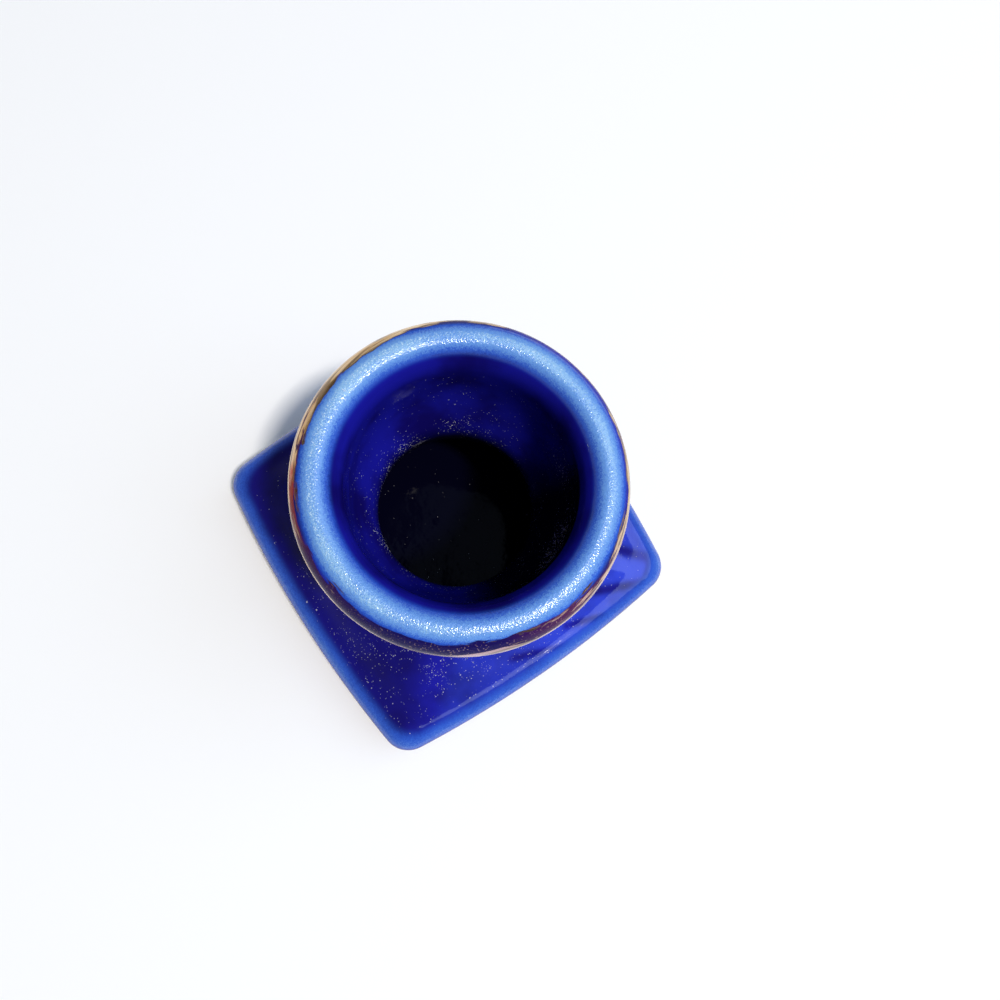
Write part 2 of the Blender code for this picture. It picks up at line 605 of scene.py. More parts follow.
@dataclass(frozen=True)
class PaintedCornerSheen:
    """A painted reflection on the plinth's top, paler most of all towards one corner.

    On the far side it turns to painted shade, and is darker. Each streak is a dark line in the painted
    reflection: its two ends seen from above, and its half width.
    """

    heading_deg: float = 45.0
    begins: float = -0.004
    spread: float = 0.011
    full: float = 0.049
    even: float = 0.45
    pooled_and_shade: float = 0.62
    streak_strength: float = 0.90
    streaks: tuple[tuple[Spot, Spot, float], ...] = (
        ((0.0330, 0.0170), (0.0404, 0.0340), 0.0014),
        ((0.0270, 0.0300), (0.0360, 0.0392), 0.0017),
        ((0.0380, 0.0100), (0.0441, 0.0275), 0.0010),
        ((0.0370, -0.0060), (0.0425, 0.0080), 0.0009),
        ((0.0230, 0.0425), (0.0350, 0.0405), 0.0008),
        ((0.0350, 0.0405), (0.0407, 0.0337), 0.0010),
    )

    def amount(self, surface: Surface) -> np.ndarray:
        """How strong the painted reflection is at every vertex.

        Formula: on the plinth's top, along the heading, a rise to an even share and then to 1, times one
        less a bell curve of the distance to each streak, which is the distance to the nearest point between
        its ends. Before the rise it is negative, which is painted shade.

        Args:
            surface: The vase's surface.

        Returns:
            0 off the plinth's top, up to 1 between the streaks, and below 0 where it is painted shade.
        """
        spots, height, plinth = surface.grid[..., :2], surface.height, surface.shell.plinth
        turn = math.radians(self.heading_deg)
        towards = spots @ np.array([math.cos(turn), math.sin(turn)])
        near = smooth_step(towards, self.begins, self.spread)
        # Painted reflection: paler towards the corner, broken by dark streaks.
        corner_sheen = near * (self.even + (1 - self.even) * smooth_step(towards, self.spread, self.full))
        for start, end, width in self.streaks:
            first, way = np.array(start), np.array(end) - np.array(start)
            share = np.clip((spots - first) @ way / (way @ way), 0.0, 1.0)
            aside = np.linalg.norm(spots - first - share[..., None] * way, axis=2)
            corner_sheen = corner_sheen * (1 - self.streak_strength * np.exp(-((aside / width) ** 2)))
        on_top = smooth_step(height, plinth.side_height + plinth.edge_rise / 2, plinth.edge_end[1])
        outside = (height < surface.shell.throat_height) & (surface.radius > surface.shell.waist_radius)
        # Painted shade on the far side of the plinth's top, before the rise.
        return (corner_sheen - self.pooled_and_shade * (1 - near)) * on_top * outside


@dataclass(frozen=True)
class GiltBrush:
    """How the gold was brushed on round the lip, and what became of it.

    Each stop is a heading about the axis, the band's width along the profile, the width
    of the line along its edge that is whole, the share of gold that is left above that
    line, how far it has reddened, and how far it has turned rose.
    """

    stops: tuple[tuple[float, ...], ...] = (
        (-134.0, 0.0061, 0.0034, 0.66, 0.08, 0.00),
        (-129.0, 0.0060, 0.0030, 0.66, 0.20, 0.00),
        (-125.0, 0.0060, 0.0029, 0.66, 1.00, 0.00),
        (-118.0, 0.0058, 0.0028, 0.62, 1.00, 0.00),
        (-109.0, 0.0056, 0.0025, 0.40, 0.60, 0.00),
        (-98.0, 0.0054, 0.0021, 0.18, 0.12, 0.05),
        (-72.0, 0.0053, 0.0016, 0.06, 0.02, 0.20),
        (-56.0, 0.0055, 0.0014, 0.02, 0.00, 0.40),
        (-40.0, 0.0060, 0.0018, 0.04, 0.00, 0.60),
        (-30.0, 0.0062, 0.0030, 0.12, 0.00, 0.80),
        (-20.0, 0.0062, 0.0038, 0.16, 0.00, 0.80),
        (-8.0, 0.0060, 0.0022, 0.30, 0.10, 0.60),
        (6.0, 0.0056, 0.0027, 0.32, 0.20, 0.55),
        (20.0, 0.0052, 0.0031, 0.44, 0.15, 0.45),
        (34.0, 0.0050, 0.0035, 0.55, 0.05, 0.25),
        (48.0, 0.0049, 0.0039, 0.65, 0.00, 0.05),
        (62.0, 0.0046, 0.0037, 0.65, 0.00, 0.00),
        (86.0, 0.0044, 0.0033, 0.45, 0.00, 0.15),
        (116.0, 0.0043, 0.0033, 0.45, 0.00, 0.20),
        (136.0, 0.0048, 0.0035, 0.45, 0.15, 0.05),
        (148.0, 0.0052, 0.0037, 0.60, 0.10, 0.00),
        (166.0, 0.0056, 0.0044, 0.95, 0.00, 0.00),
        (181.0, 0.0060, 0.0050, 1.00, 0.05, 0.00),
        (201.0, 0.0066, 0.0046, 0.95, 0.05, 0.00),
        (217.0, 0.0064, 0.0036, 0.72, 0.15, 0.00),
    )
    columns: tuple[Trait, ...] = (
        Trait.GILT_WIDTH,
        Trait.GILT_LINE,
        Trait.GILT_GOLD,
        Trait.GILT_COPPER,
        Trait.GILT_ROSE,
    )

    def spread(self, headings: np.ndarray, trait: Trait) -> np.ndarray:
        """A trait at every heading, straight between neighbouring stops.

        Args:
            headings: Angles about the axis, in radians.
            trait: Which of the stops' values is wanted.

        Returns:
            An array of the headings' shape.
        """
        table = np.array(self.stops)
        degrees = (np.degrees(headings) - table[0, 0]) % 360 + table[0, 0]
        return np.interp(degrees, table[:, 0], table[:, 1 + self.columns.index(trait)])


# Nodes


class NodeSheet:
    """A node tree, with short ways to add nodes to it and to join them."""

    def __init__(self, tree: bpy.types.NodeTree) -> None:
        """Starts on an empty or a new tree."""
        self.tree = tree

    def feed(self, node: bpy.types.Node, inputs: dict) -> None:
        """Joins other nodes' outputs to a node's inputs, or sets those to plain values.

        Args:
            node: The node to feed.
            inputs: An output, a number, a colour or a vector, by the input's name or place.
        """
        for key, value in inputs.items():
            if isinstance(value, Socket):
                self.tree.links.new(value, node.inputs[key])
            else:
                node.inputs[key].default_value = value

    def add(self, kind: str, inputs: dict | None = None, **settings: object) -> bpy.types.Node:
        """Adds a node.

        Args:
            kind: Blender's name of the node's type.
            inputs: What its inputs are fed with.
            **settings: Its own properties.

        Returns:
            The node.
        """
        node = self.tree.nodes.new(kind)
        for name, value in settings.items():
            setattr(node, name, value)
        self.feed(node, inputs or {})
        return node

    def reckon(self, operation: str, *values: object, clamp: bool = False) -> Socket:
        """Arithmetic on two values, or on more of them from the left.

        Args:
            operation: Blender's name of the operation.
            *values: Its operands.
            clamp: Whether each result is kept between 0 and 1.

        Returns:
            The last result's output.
        """
        result = values[0]
        for value in values[1:]:
            step = self.add("ShaderNodeMath", {0: result, 1: value}, operation=operation, use_clamp=clamp)
            result = step.outputs[0]
        return result

    def step(self, value: object, span: Span, to: Span = (0.0, 1.0)) -> Socket:
        """A smooth ramp from one result to another, over a span of the value."""
        ends = {"Value": value, "From Min": span[0], "From Max": span[1], "To Min": to[0], "To Max": to[1]}
        return self.add("ShaderNodeMapRange", ends, interpolation_type="SMOOTHSTEP").outputs["Result"]

    def swing(self, noise: object, reach: float, width: float = 0.2) -> Socket:
        """A noise spread out to either side of 0, up to a reach."""
        return self.step(noise, (0.5 - width, 0.5 + width), (-reach, reach))

    def mix(self, share: object, first: object, second: object) -> Socket:
        """A colour between two others, the first one where the share is 0."""
        return self.add("ShaderNodeMix", {"Factor": share, 6: first, 7: second}, data_type="RGBA").outputs[2]

    def between(self, share: object, first: object, second: object) -> Socket:
        """A number between two others, the first one where the share is 0."""
        return self.add("ShaderNodeMix", {"Factor": share, 2: first, 3: second}).outputs[0]

    def noise(self, vector: object, scale: float, detail: float = 2.0, roughness: float = 0.5) -> Socket:
        """Cloudy noise between 0 and 1, with a scale in clouds to a metre."""
        inputs = {"Vector": vector, "Scale": scale, "Detail": detail, "Roughness": roughness}
        return self.add("ShaderNodeTexNoise", inputs).outputs["Fac"]

    def stretch(self, vector: object, scale: Place, turn_deg: Place = (0.0, 0.0, 0.0)) -> Socket:
        """Coordinates turned and then scaled."""
        turned = self.add("ShaderNodeMapping", {"Vector": vector, "Rotation": tuple(np.radians(turn_deg))})
        return self.add("ShaderNodeMapping", {"Vector": turned.outputs[0], "Scale": scale}).outputs[0]

    def bump(self, height: object, depth: float) -> Socket:
        """The surface's normal, bent by a height."""
        inputs = {"Height": height, "Distance": depth, "Strength": 1.0}
        return self.add("ShaderNodeBump", inputs).outputs["Normal"]

    def place(self) -> Socket:
        """The piece's own coordinates."""
        return self.add("ShaderNodeTexCoord").outputs["Object"]

    def trait(self, trait: Trait) -> Socket:
        """The mesh's own value of a trait."""
        return self.add("ShaderNodeAttribute", attribute_name=trait.value).outputs["Fac"]


def new_group(
    name: str, inputs: dict[str, str], outputs: dict[str, str]
) -> tuple[NodeSheet, dict[str, Socket], bpy.types.Node]:
    """An empty shader node group.

    Args:
        name: Its name.
        inputs: Kinds of its inputs by name, each Float, Vector or Color.
        outputs: Kinds of its outputs by name.

    Returns:
        Its sheet, its inputs' sockets by name, and its output node.
    """
    tree = bpy.data.node_groups.new(name, "ShaderNodeTree")
    for way, kinds in (("INPUT", inputs), ("OUTPUT", outputs)):
        for label, kind in kinds.items():
            tree.interface.new_socket(label, in_out=way, socket_type=f"NodeSocket{kind}")
    sheet = NodeSheet(tree)
    entry = sheet.add("NodeGroupInput")
    return sheet, {label: entry.outputs[label] for label in inputs}, sheet.add("NodeGroupOutput")


def blank_material(name: str) -> tuple[bpy.types.Material, NodeSheet, bpy.types.Node]:
    """A new node material.

    Args:
        name: Its name.

    Returns:
        The material, its sheet and its Principled shader.
    """
    material = bpy.data.materials.new(name)
    material.use_nodes = True
    return material, NodeSheet(material.node_tree), material.node_tree.nodes["Principled BSDF"]


# Effects


@dataclass(frozen=True)
class Specks:
    """Round specks, at most one to a cell, some smaller and fainter than others."""

    cell: float
    radius: float
    share: float
    smallest: float = 0.45
    faintest: float = 0.20
    thin_strength: float = 0.34

    def mask(self, sheet: NodeSheet, vector: object, dust: object) -> Socket:
        """Where the specks lie, and how strong each one is.

        Formula: 1 where the distance to the cell's point is under a radius that differs
        from cell to cell, and nothing in the cells whose random number is above the
        amount. Another random number makes the speck faint, and so does thin dust.

        Args:
            sheet: The tree to add to.
            vector: Where it is read.
            dust: How much dust there is.

        Returns:
            The specks' mask.
        """
        cells = sheet.add("ShaderNodeTexVoronoi", {"Vector": vector, "Scale": 1 / self.cell}, feature="F1")
        draws = sheet.add("ShaderNodeSeparateColor", {"Color": cells.outputs["Color"]}).outputs
        amount = sheet.reckon("MULTIPLY", dust, self.share)
        size = sheet.step(draws[1], (0.0, 1.0), (self.radius * self.smallest, self.radius))
        near = sheet.reckon("LESS_THAN", cells.outputs["Distance"], size)
        here = sheet.reckon("LESS_THAN", draws[0], amount)
        faint = sheet.step(draws[2], (0.25, 1.0), (self.faintest, 1.0))
        thick = sheet.step(amount, (0.10, 1.20), (self.thin_strength, 1.0))
        return sheet.reckon("MULTIPLY", near, here, faint, thick)


@dataclass(frozen=True)
class DustEffect:
    """Pale specks and short fibres that have settled on the glaze."""

    fine: Specks = Specks(cell=0.00040, radius=0.38, share=0.44)
    coarse: Specks = Specks(cell=0.00100, radius=0.24, share=0.13)
    patch_size: float = 0.009
    fibre_size: float = 0.0042
    fibre_patch: float = 0.0024
    fibre_strength: float = 0.7
    tone_scale: float = 900.0
    grey: Colour = (0.70, 0.69, 0.74, 1.0)
    white: Colour = (1.00, 0.98, 0.97, 1.0)

    def fibres(self, sheet: NodeSheet, vector: object, dust: object) -> Socket:
        """Short curly fibres.

        Formula: 1 where one noise is very near its middle value, which follows thin
        lines, and another noise is high, which leaves short pieces of them.

        Args:
            sheet: The tree to add to.
            vector: Where it is read.
            dust: How much dust there is.

        Returns:
            The fibres' mask.
        """
        curl = sheet.noise(vector, 1 / self.fibre_size, 1.0, 0.4)
        off = sheet.reckon("ABSOLUTE", sheet.reckon("SUBTRACT", curl, 0.5), 0.0)
        line = sheet.step(off, (0.003, 0.008), (1.0, 0.0))
        askew = sheet.stretch(vector, (1.0, 1.3, 0.8), (25.0, 60.0, 10.0))
        bound = sheet.step(dust, (0.7, 1.9), (0.78, 0.60))
        piece = sheet.reckon("GREATER_THAN", sheet.noise(askew, 1 / self.fibre_patch, 1.0), bound)
        return sheet.reckon("MULTIPLY", line, piece, self.fibre_strength)

    def group(self) -> bpy.types.NodeTree:
        """The effect's node group: an amount in, and a mask and a colour out.

        Returns:
            The group.
        """
        inputs = {"Vector": "Vector", "Amount": "Float"}
        sheet, given, out = new_group("settled_dust", inputs, {"Mask": "Float", "Colour": "Color"})
        vector = given["Vector"]
        patches = sheet.step(sheet.noise(vector, 1 / self.patch_size, 3.0, 0.6), (0.36, 0.68), (0.25, 1.7))
        dust = sheet.reckon("MULTIPLY", given["Amount"], patches)
        specks = [kind.mask(sheet, vector, dust) for kind in (self.fine, self.coarse)]
        mask = sheet.reckon("MAXIMUM", *specks, self.fibres(sheet, vector, dust))
        colour = sheet.mix(sheet.noise(vector, self.tone_scale, 1.0), self.grey, self.white)
        sheet.feed(out, {"Mask": mask, "Colour": colour})
        return sheet.tree


@dataclass(frozen=True)
class GlazeEffect:
    """Cobalt glaze: deep where it is thick, breaking to sky blue where it is thin.

    A colour's span is the stretch of thinness, or of painted shade inside, over which the glaze turns to it.
    Scales are clouds to a metre.
    """

    deep: Colour = (0.0105, 0.0105, 0.330, 1.0)
    # The pooled colour is random pooled glaze, and also painted shade on the plinth's far side.
    pooled_and_shade: Colour = (0.0060, 0.0036, 0.120, 1.0)
    # Painted reflection on the plinth's top, towards one corner.
    painted_sheen: Colour = (0.030, 0.060, 0.620, 1.0)
    azure: Colour = (0.026, 0.100, 0.56, 1.0)
    azure_span: Span = (0.04, 0.44)
    thin: Colour = (0.130, 0.305, 0.71, 1.0)
    thin_span: Span = (0.36, 0.80)
    bare: Colour = (0.31, 0.55, 0.79, 1.0)
    bare_span: Span = (0.84, 1.10)
    # Painted glints: pale flecks along the thinnest glaze on the crest.
    painted_glint: Colour = (0.70, 0.88, 0.95, 1.0)
    painted_glint_span: Span = (0.86, 1.0)
    # Painted shade: near black deep inside and on one side of the bowl.
    painted_shade: Colour = (0.0012, 0.0012, 0.0080, 1.0)
    painted_shade_span: Span = (0.36, 0.50)
    cloud_sway: float = 0.14
    mottle_sway: float = 0.10
    grain_sway: float = 0.12
    cloud_scale: float = 60.0
    smear_scale: float = 130.0
    ripple_scale: float = 260.0
    mottle_scale: float = 1700.0
    frost_scale: float = 2600.0
    painted_glints_scale: float = 4000.0
    grain_scale: float = 4800.0

    def colour(self, sheet: NodeSheet, given: dict[str, Socket], cloud: Socket, mottle: Socket) -> Socket:
        """The glaze's colour.

        Formula: the thinness swayed by noise picks between the colours, one after the other. The painted
        reflection on the plinth's top is added to the deep colour first, with painted shade where it is
        negative, and the painted shade inside darkens the result.

        Args:
            sheet: The group's tree.
            given: The group's inputs.
            cloud: Wide noise.
            mottle: Fine noise.

        Returns:
            The colour's output.
        """
        vector, given_thinness = given["Vector"], given["Thinness"]
        grain = sheet.noise(vector, self.grain_scale, 2.0, 0.6)
        broken = sheet.reckon(
            "ADD", sheet.swing(mottle, self.mottle_sway, 0.25), sheet.swing(grain, self.grain_sway, 0.25)
        )
        broken = sheet.reckon("MULTIPLY", broken, sheet.step(given_thinness, (0.05, 0.6)))
        swayed = sheet.reckon("MULTIPLY", sheet.swing(cloud, self.cloud_sway, 0.25), given_thinness)
        swayed = sheet.reckon("ADD", given_thinness, swayed)
        thinness = sheet.reckon("ADD", swayed, broken, clamp=True)
        colour = sheet.mix(sheet.step(cloud, (0.34, 0.64)), self.pooled_and_shade, self.deep)
        # Painted shade where the corner value is negative, painted reflection where it is positive.
        colour = sheet.mix(sheet.step(given["CornerSheen"], (-1.0, 0.0), (1.0, 0.0)), colour, self.pooled_and_shade)
        corner_sheen = sheet.step(cloud, (0.30, 0.60), (0.55, 1.0))
        corner_sheen = sheet.reckon("MULTIPLY", sheet.step(given["CornerSheen"], (0.0, 1.0)), corner_sheen)
        colour = sheet.mix(corner_sheen, colour, self.painted_sheen)
        colour = sheet.mix(sheet.step(thinness, self.azure_span), colour, self.azure)
        colour = sheet.mix(sheet.step(thinness, self.thin_span), colour, self.thin)
        colour = sheet.mix(sheet.step(thinness, self.bare_span), colour, self.bare)
        # Painted glints: pale flecks painted into the colour along the crest.
        painted_glints = sheet.step(sheet.noise(vector, self.painted_glints_scale, 1.0), (0.56, 0.66), (0.0, 0.6))
        painted_glints = sheet.reckon("MULTIPLY", painted_glints, sheet.step(given_thinness, self.painted_glint_span))
        colour = sheet.mix(painted_glints, colour, self.painted_glint)
        # Painted shade: the colour darkens to near black deeper inside and on one side.
        return sheet.mix(sheet.step(given["Depth"], self.painted_shade_span), colour, self.painted_shade)

    def group(self) -> bpy.types.NodeTree:
        """The effect's node group: thinness in, and colour, roughness and height out.

        Returns:
            The group.
        """
        inputs = {"Vector": "Vector", "Thinness": "Float", "CornerSheen": "Float", "Depth": "Float"}
        outputs = {"Colour": "Color", "Roughness": "Float", "Height": "Float"}
        sheet, given, out = new_group("cobalt_glaze_flow", inputs, outputs)
        vector, thinness = given["Vector"], given["Thinness"]
        cloud = sheet.noise(vector, self.cloud_scale, 3.0, 0.55)
        mottle = sheet.noise(vector, self.mottle_scale, 3.0, 0.70)
        smear = sheet.step(sheet.noise(vector, self.smear_scale, 4.0, 0.7), (0.35, 0.75), (0.05, 0.12))
        crystals = sheet.step(thinness, (0.3, 0.9), (0.0, 0.12))
        ripple = sheet.noise(vector, self.ripple_scale)
        bubbles = sheet.reckon("MULTIPLY", mottle, sheet.step(thinness, (0.1, 0.8), (0.025, 0.45)))
        frost = sheet.step(thinness, (0.45, 0.95), (0.0, 2.0))
        frost = sheet.reckon("MULTIPLY", sheet.noise(vector, self.frost_scale, 1.0), frost)
        results = {
            "Colour": self.colour(sheet, given, cloud, mottle),
            "Roughness": sheet.reckon("ADD", smear, crystals),
            "Height": sheet.reckon("ADD", ripple, bubbles, frost),
        }
        sheet.feed(out, results)
        return sheet.tree


# Finishes


@dataclass(frozen=True)
class GlazeFinish:
    """The glaze, with its dust. Its gloss is the shader's own specular level."""

    glaze: bpy.types.NodeTree
    dust: bpy.types.NodeTree
    name: str = "cobalt_glaze"
    gloss: float = 0.5
    ior: float = 1.55
    bump_depth: float = 0.00006
    dust_roughness: float = 0.85

    def material(self) -> bpy.types.Material:
        """Cobalt glaze with dust lying on it.

        Returns:
            The material.
        """
        material, sheet, shader = blank_material(self.name)
        glaze = self.glazed(sheet)
        self.finish(sheet, shader, glaze["Colour"], glaze["Roughness"], glaze["Height"])
        return material

    def glazed(self, sheet: NodeSheet) -> bpy.types.bpy_prop_collection:
        """Adds the glaze's effect, fed with the mesh's traits.

        Args:
            sheet: The material's tree.

        Returns:
            The effect's outputs by name.
        """
        fed = {"Thinness": Trait.THINNESS, "CornerSheen": Trait.CORNER_SHEEN, "Depth": Trait.INSIDE_SHADE}
        inputs = {"Vector": sheet.place()} | {name: sheet.trait(trait) for name, trait in fed.items()}
        return sheet.add("ShaderNodeGroup", inputs, node_tree=self.glaze).outputs

    def finish(
        self, sheet: NodeSheet, shader: bpy.types.Node, colour: Socket, roughness: Socket, height: Socket
    ) -> Socket:
        """Lays the dust over a finish and feeds the shader.

        Args:
            sheet: The material's tree.
            shader: Its Principled shader.
            colour: The finish's colour.
            roughness: Its roughness.
            height: Its height, for the bump.

        Returns:
            The dust's mask.
        """
        inputs = {"Vector": sheet.place(), "Amount": sheet.trait(Trait.DUST)}
        dust = sheet.add("ShaderNodeGroup", inputs, node_tree=self.dust).outputs
        mask = dust["Mask"]
        surface = {
            "Base Color": sheet.mix(mask, colour, dust["Colour"]),
            "Roughness": sheet.between(mask, roughness, self.dust_roughness),
            "Normal": sheet.bump(sheet.reckon("ADD", height, mask), self.bump_depth),
            "IOR": self.ior,
            "Specular IOR Level": self.gloss,
        }
        sheet.feed(shader, surface)
        return mask


@dataclass(frozen=True)
class GiltFinish:
    """The painted gold round the lip's edge, worn and streaked, over the glaze."""

    base: GlazeFinish
    gold: Colour = (0.58, 0.34, 0.12, 1.0)
    # The pale gold is painted reflection in the streaks.
    pale_gold: Colour = (0.76, 0.55, 0.31, 1.0)
    # Brown draws painted dark reflection lines in the gold, and the band's upper edge.
    brown: Colour = (0.11, 0.060, 0.022, 1.0)
    copper: Colour = (0.40, 0.040, 0.008, 1.0)
    rose: Colour = (0.46, 0.30, 0.40, 1.0)
    lustre: Colour = (0.010, 0.006, 0.090, 1.0)
    line_low: float = -0.0012
    band_wander: float = 0.0004
    fray: float = 0.0007
    rim: float = 0.0005
    wear: float = 0.42
    worn_redness: float = 0.85
    relief: float = 0.25
    wander_scale: float = 170.0
    streak_scale: float = 230.0
    reflection_line_scale: float = 330.0
    fleck_scale: float = 2300.0

    def kept(self, sheet: NodeSheet, streaks: Socket, line: Socket) -> Socket:
        """Where the gold is left.

        Formula: the trait's share of gold, frayed by the streaks, or the line along the
        edge, or small flecks where the gold has turned rose, whichever is most.

        Args:
            sheet: The material's tree.
            streaks: Noise drawn out round the lip.
            line: Where the line along the edge is.

        Returns:
            1 where there is gold, 0 where it is gone.
        """
        share = sheet.reckon("ADD", sheet.trait(Trait.GILT_GOLD), sheet.swing(streaks, self.wear))
        flecks = sheet.step(sheet.noise(sheet.place(), self.fleck_scale, 1.0), (0.63, 0.70), (0.0, 0.7))
        flecks = sheet.reckon("MULTIPLY", flecks, sheet.trait(Trait.GILT_ROSE))
        return sheet.reckon("MAXIMUM", sheet.step(share, (0.42, 0.62)), line, flecks)

    def gilding(self, sheet: NodeSheet, streaks: Socket, line: Socket, to_edge: Socket) -> Socket:
        """The gold's colour.

        Formula: two golds by the streaks, paler and darker as painted reflection, then rose and copper by
        the traits, copper off the line alone, and brown in fine lines that are painted dark reflections and
        along the band's upper edge.

        Args:
            sheet: The material's tree.
            streaks: Noise drawn out round the lip.
            line: Where the line along the edge is.
            to_edge: Distance to the band's upper edge.

        Returns:
            The colour's output.
        """
        # Painted reflection: paler and darker streaks of gold.
        colour = sheet.mix(sheet.step(streaks, (0.40, 0.60)), self.gold, self.pale_gold)
        colour = sheet.mix(sheet.trait(Trait.GILT_ROSE), colour, self.rose)
        coppery = sheet.step(streaks, (0.42, 0.58), (0.5, 1.0))
        off_line = sheet.reckon("SUBTRACT", 1.0, line)
        coppery = sheet.reckon("MULTIPLY", sheet.trait(Trait.GILT_COPPER), coppery, off_line)
        colour = sheet.mix(coppery, colour, self.copper)
        # Painted reflection: fine dark lines drawn round the lip in the gold's colour.
        drawn = sheet.stretch(sheet.place(), (0.30, 0.30, 3.0), (2.0, 3.0, 0.0))
        reflection_lines = sheet.step(sheet.noise(drawn, self.reflection_line_scale, 1.0), (0.38, 0.46), (0.75, 0.0))
        reflection_lines = sheet.reckon("MULTIPLY", reflection_lines, sheet.step(sheet.trait(Trait.GILT_ACROSS), (0.001, 0.002)))
        rim = sheet.step(to_edge, (self.rim * 0.5, self.rim), (0.8, 0.0))
        return sheet.mix(sheet.reckon("MAXIMUM", reflection_lines, rim), colour, self.brown)

    def material(self) -> bpy.types.Material:
        """Glaze below, gold above it with an uneven brushed edge.

        Returns:
            The material.
        """
        material, sheet, shader = blank_material("gilt_edge")
        where, across = sheet.place(), sheet.trait(Trait.GILT_ACROSS)
        streaks = sheet.noise(sheet.stretch(where, (0.45, 0.45, 4.0)), self.streak_scale, 3.0, 0.65)
        wave = sheet.swing(sheet.noise(where, self.wander_scale, 1.0), self.band_wander)
        edge = sheet.reckon("ADD", sheet.trait(Trait.GILT_WIDTH), wave, sheet.swing(streaks, self.fray))
        to_edge = sheet.reckon("SUBTRACT", edge, across)
        above = sheet.step(across, (self.line_low - 0.0002, self.line_low))
        painted = sheet.reckon("MULTIPLY", sheet.step(to_edge, (-0.0001, 0.0003)), above)
        to_line = sheet.reckon("SUBTRACT", sheet.trait(Trait.GILT_LINE), across)
        line = sheet.step(to_line, (-0.0002, 0.0001))
        kept = self.kept(sheet, streaks, line)
        redness = sheet.reckon("MULTIPLY", sheet.trait(Trait.GILT_COPPER), self.worn_redness)
        worn = sheet.mix(redness, self.lustre, self.copper)
        gilt = sheet.mix(kept, worn, self.gilding(sheet, streaks, line, to_edge))
        glaze = self.base.glazed(sheet)
        colour = sheet.mix(painted, glaze["Colour"], gilt)
        roughness = sheet.between(painted, glaze["Roughness"], sheet.step(kept, (0.0, 1.0), (0.08, 0.24)))
        height = sheet.reckon("ADD", glaze["Height"], sheet.reckon("MULTIPLY", painted, self.relief))
        dust = self.base.finish(sheet, shader, colour, roughness, height)
        clean = sheet.reckon("SUBTRACT", 1.0, dust)
        sheet.feed(shader, {"Metallic": sheet.reckon("MULTIPLY", painted, kept, clean)})
        return material


@dataclass(frozen=True)
class BareClayFinish:
    """The unglazed underside: fired clay, chalky and a little soiled."""

    dust: bpy.types.NodeTree
    clay: Colour = (0.60, 0.54, 0.46, 1.0)
    soiled: Colour = (0.34, 0.29, 0.24, 1.0)
    dust_amount: float = 0.25
    stain_scale: float = 60.0
    grain_scale: float = 2600.0
    bump_depth: float = 0.00008

    def material(self) -> bpy.types.Material:
        """Bare clay with dust.

        Returns:
            The material.
        """
        material, sheet, shader = blank_material("bare_clay")
        where = sheet.place()
        stain = sheet.step(sheet.noise(where, self.stain_scale, 5.0, 0.65), (0.40, 0.75))
        grain = sheet.noise(where, self.grain_scale, 3.0, 0.7)
        inputs = {"Vector": where, "Amount": self.dust_amount}
        dust = sheet.add("ShaderNodeGroup", inputs, node_tree=self.dust).outputs
        surface = {
            "Base Color": sheet.mix(dust["Mask"], sheet.mix(stain, self.clay, self.soiled), dust["Colour"]),
            "Roughness": sheet.step(grain, (0.2, 0.8), (0.75, 0.95)),
            "Normal": sheet.bump(grain, self.bump_depth),
        }
        sheet.feed(shader, surface)
        return material


# The vase


@dataclass(frozen=True)
class DustFall:
    """How much dust lies where: on the ledge of the throat and on the plinth's top.

    Each drift is a heading about the axis, a height on the inside, its reach, and how
    much dust it adds there.
    """

    ledge: float = 0.55
    ledge_rise: float = 0.0075
    ledge_flat: float = 0.001
    wall: float = 0.22
    chamber: float = 0.03
    chamber_fade: float = 0.004
    top: float = 0.10
    dusty_corner: float = 0.62
    dusty_corner_deg: float = -45.0
    rim_inside: float = 0.0010
    rim_outside: float = 0.0015
    rim_sink: float = 0.0004
    drifts: tuple[tuple[float, float, float, float], ...] = (
        (152.0, 0.0408, 0.0030, 4.2),
        (174.0, 0.0400, 0.0026, 1.5),
        (-168.0, 0.0400, 0.0024, 1.6),
        (-151.0, 0.0398, 0.0024, 1.9),
        (-134.0, 0.0396, 0.0026, 1.7),
        (-96.0, 0.0400, 0.0030, 1.5),
        (28.0, 0.0570, 0.0050, 3.0),
        (14.0, 0.0590, 0.0040, 2.4),
        (74.0, 0.0550, 0.0050, 1.4),
        (-106.0, 0.0430, 0.0030, 1.0),
        (-36.0, 0.0395, 0.0024, 0.8),
    )

    def amount(self, surface: Surface) -> np.ndarray:
        """Dust at every vertex, 1 being thick.

        Formula: inside, a wall value that grows towards the throat's ledge, and over it
        a bell curve of the distance to each drift, which is the chord round the axis and
        the difference in height. Outside, a value on the plinth's top that grows towards
        one corner.

        Args:
            surface: The vase's surface.

        Returns:
            An array of rings by sides.
        """
        shell, height = surface.shell, surface.height
        throat = shell.throat_height
        ledge = hump(height, throat + self.ledge_rise / 2, self.ledge_flat, self.ledge_rise * 0.8)
        below = smooth_step(-height, -throat, -throat + self.chamber_fade)
        bore = smooth_step(-height, -shell.lip.edge_height, -shell.bell_top)
        within = self.wall * bore + (self.ledge - self.wall) * ledge
        for heading_deg, level, reach, added in self.drifts:
            chord = 2 * surface.radius * np.sin((surface.heading - math.radians(heading_deg)) / 2)
            within = within + added * np.exp(-((chord / reach) ** 2) - ((height - level) / reach) ** 2)
        within = within * (1 - below) + self.chamber * below
        side = smooth_step(np.cos(surface.heading - math.radians(self.dusty_corner_deg)), 0.1, 0.95)
        rim, level = shell.plinth.edge_end
        flat = (height > level - self.rim_sink) & (height < throat)
        inner = 1.0 - smooth_step(surface.profile[:, :1], rim - self.rim_inside, rim + self.rim_outside)
        top = (self.top + (self.dusty_corner - self.top) * side) * inner * flat
        return np.where(surface.inside, within, top)


